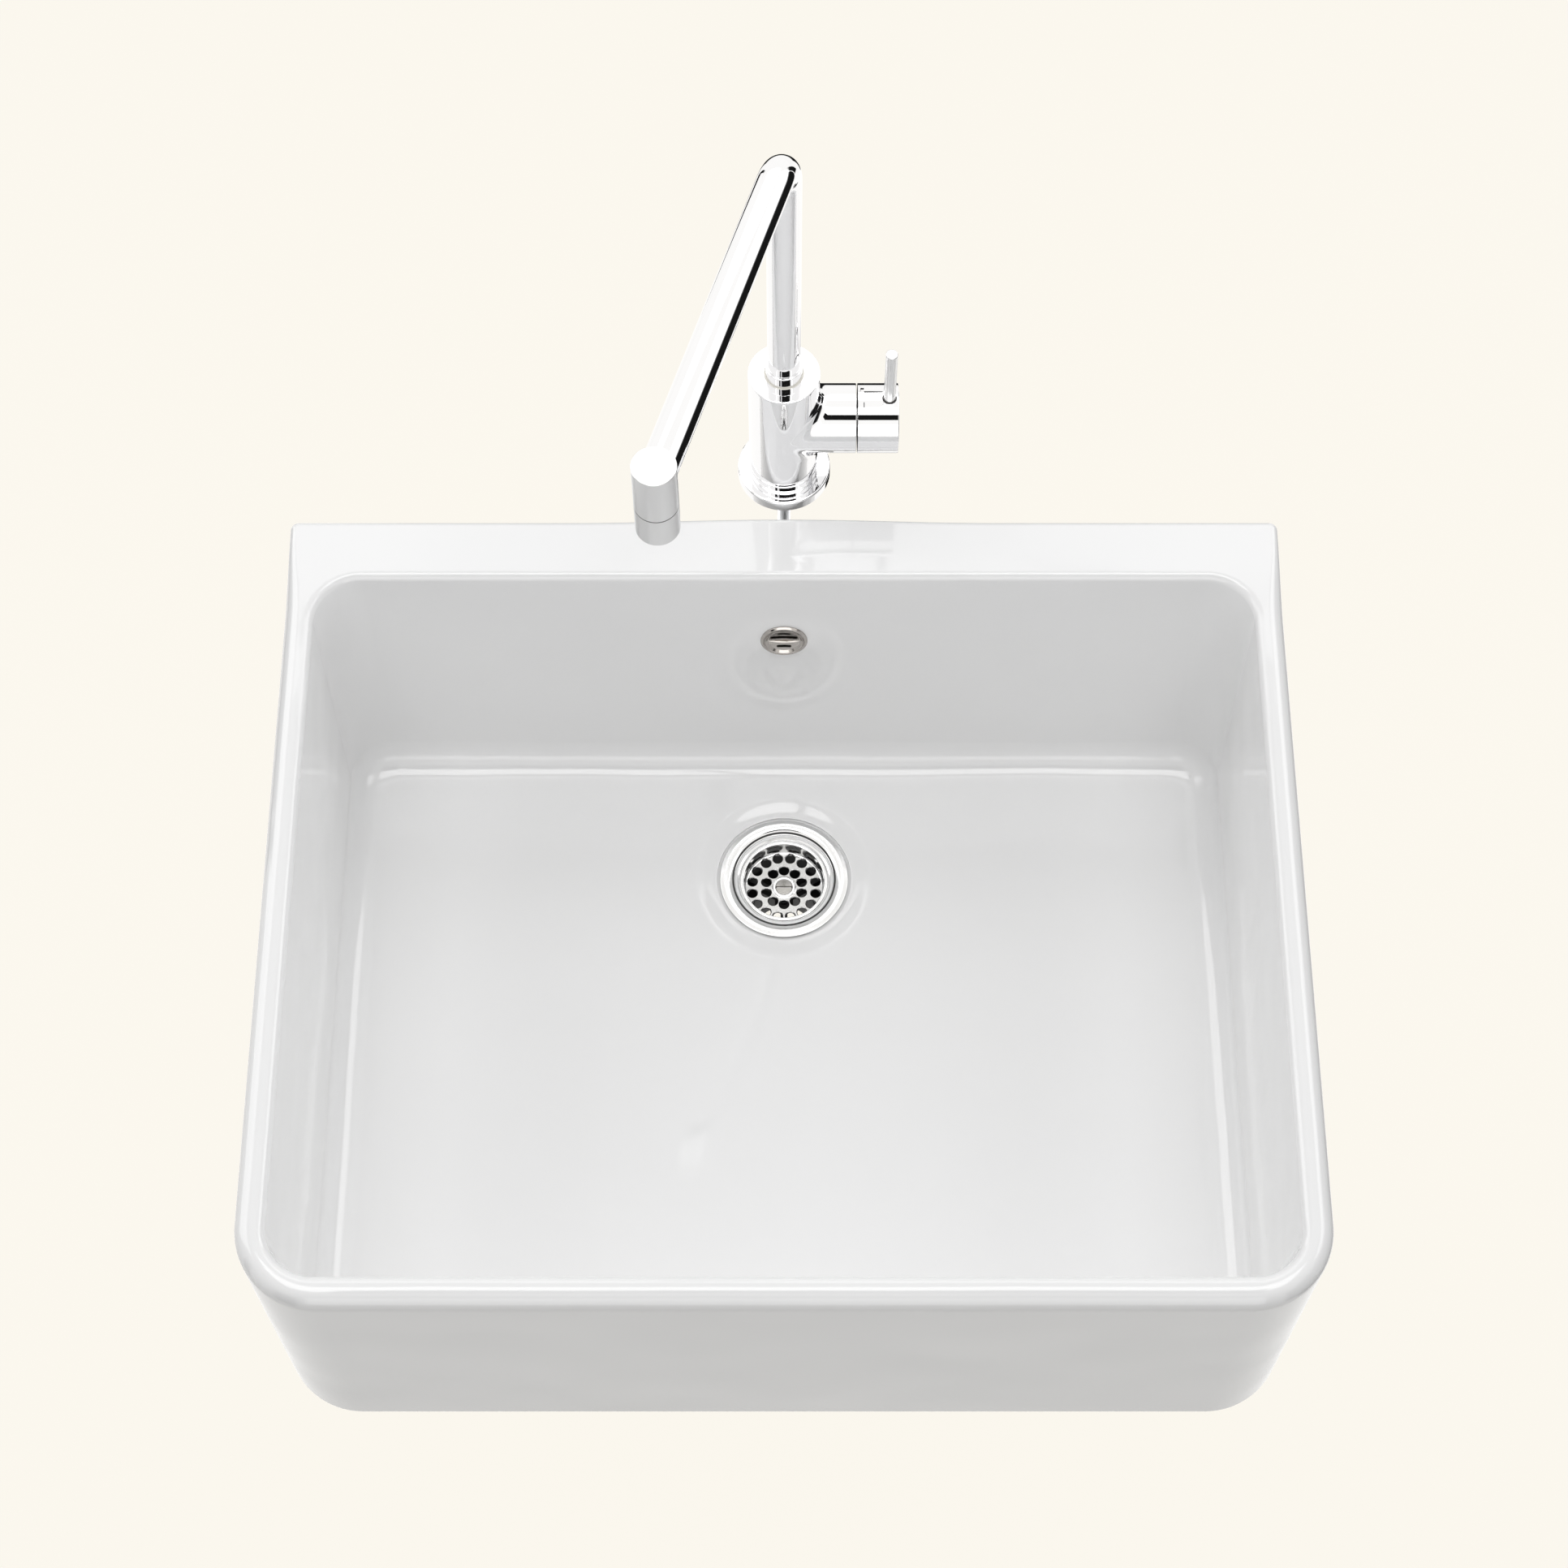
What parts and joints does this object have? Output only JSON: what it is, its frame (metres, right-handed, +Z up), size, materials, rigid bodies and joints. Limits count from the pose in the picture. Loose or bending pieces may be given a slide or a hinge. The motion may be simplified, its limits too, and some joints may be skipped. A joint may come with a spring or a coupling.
{
  "type": "farmhouse apron front sink",
  "caption": "Fireclay apron front kitchen sink with slotted strainer waste, integral overflow and a deck-standing single lever mixer tap with a swivelling spout.",
  "frame": {"origin": "centre of the sink's flat underside", "axes": "+X to the user's right, +Y towards the wall behind the sink, +Z up"},
  "size_m": [0.598, 0.5525, 0.598],
  "materials": {
    "white_glaze": "glossy white glaze",
    "tap_chrome": "polished chrome",
    "satin_chrome": "satin chrome",
    "overflow_chrome": "bright chrome",
    "waste_steel": "polished stainless steel",
    "zinc_steel": "zinc plated steel",
    "carrier_steel": "powder coated steel",
    "brass": "turned brass",
    "black_rubber": "matt black rubber",
    "waste_plastic": "moulded polypropylene",
    "bearing_plastic": "acetal",
    "cartridge_plastic": "glass filled plastic",
    "disc_ceramic": "lapped alumina",
    "stem_steel": "turned steel"
  },
  "bodies": {
    "sink": {"sink_bowl": "white_glaze", "overflow_grille": "overflow_chrome", "overflow_sleeve": "bearing_plastic", "flange_gasket": "black_rubber", "waste_flange": "waste_steel", "strainer_cup": "waste_steel", "strainer_screw": "waste_steel", "lower_gasket": "black_rubber", "waste_body": "waste_plastic", "tap_carrier": "carrier_steel", "carrier_inserts": "brass", "carrier_screws": "zinc_steel", "clamp_rubber": "black_rubber", "clamp_plate": "zinc_steel", "clamp_nuts": "zinc_steel", "tap_studs": "zinc_steel", "base_gasket": "black_rubber", "base_flange": "tap_chrome", "tap_body": "tap_chrome", "spout_bush": "bearing_plastic", "lock_screw": "tap_chrome", "cartridge_housing": "cartridge_plastic", "cartridge_base": "cartridge_plastic", "ceramic_discs": "disc_ceramic", "cartridge_nut": "brass"},
    "spout": {"spout_foot": "brass", "spout_o_rings": "black_rubber", "spout_collar": "tap_chrome", "spout_pipe": "tap_chrome", "nozzle": "satin_chrome", "aerator_housing": "satin_chrome", "aerator_insert": "cartridge_plastic", "aerator_washer": "black_rubber"},
    "mixer_fork": {"cartridge_carrier": "bearing_plastic", "stem_pin": "zinc_steel"},
    "handle": {"cartridge_stem": "stem_steel", "handle_cap": "tap_chrome", "handle_screw": "zinc_steel", "lever_collar": "tap_chrome", "lever_rod": "tap_chrome"}
  },
  "joints": [
    {"name": "spout_swivel", "type": "hinge", "parent": "sink", "child": "spout", "pos_m": [0, 0.2795, 0.327], "axis": [0, 0, 1], "continuous": true},
    {"name": "temperature_turn", "type": "hinge", "parent": "sink", "child": "mixer_fork", "pos_m": [0.03, 0.2795, 0.28], "axis": [1, 0, 0], "range_deg": [-45, 45]},
    {"name": "flow_tilt", "type": "hinge", "parent": "mixer_fork", "child": "handle", "pos_m": [0.03, 0.2795, 0.28], "axis": [0, 1, 0], "range_deg": [0, 22]}
  ]
}
